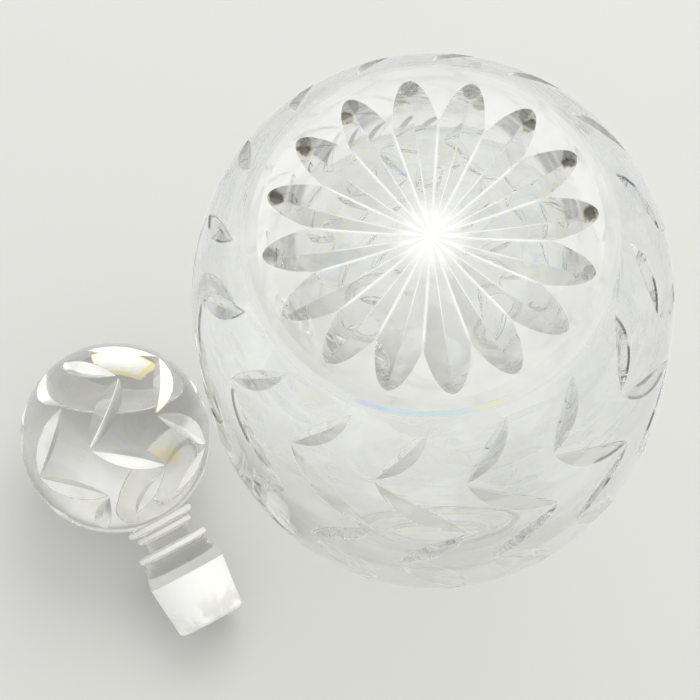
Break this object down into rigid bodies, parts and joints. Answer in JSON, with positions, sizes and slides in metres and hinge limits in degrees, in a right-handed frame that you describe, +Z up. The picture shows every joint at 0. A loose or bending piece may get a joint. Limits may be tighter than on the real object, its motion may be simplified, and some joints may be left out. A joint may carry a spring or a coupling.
{
  "type": "decanter",
  "caption": "Cut glass decanter with a star-cut base and zigzag leaf cuts, standing upside down on its mouth, with its ball stopper taken off and lying beside it.",
  "frame": {"origin": "on the surface that the pair stands on, in the middle of the pair's footprint", "axes": "+Z up from the mouth that the decanter stands on to its base, +X from the stopper towards the decanter, -Y towards the viewer"},
  "size_m": [0.1901, 0.1272, 0.205],
  "materials": {
    "cut_crystal": "polished clear lead crystal with mitre cuts",
    "stopper_crystal": "polished clear lead crystal with a finely ground plug"
  },
  "bodies": {
    "decanter": {"decanter_body": "cut_crystal"},
    "loose_stopper": {"stopper": "stopper_crystal"}
  },
  "joints": [
    {"name": "stopper_lift", "type": "slide", "parent": "decanter", "child": "loose_stopper", "axis": [0, 0, 1], "range_m": [0, 0.21]}
  ]
}
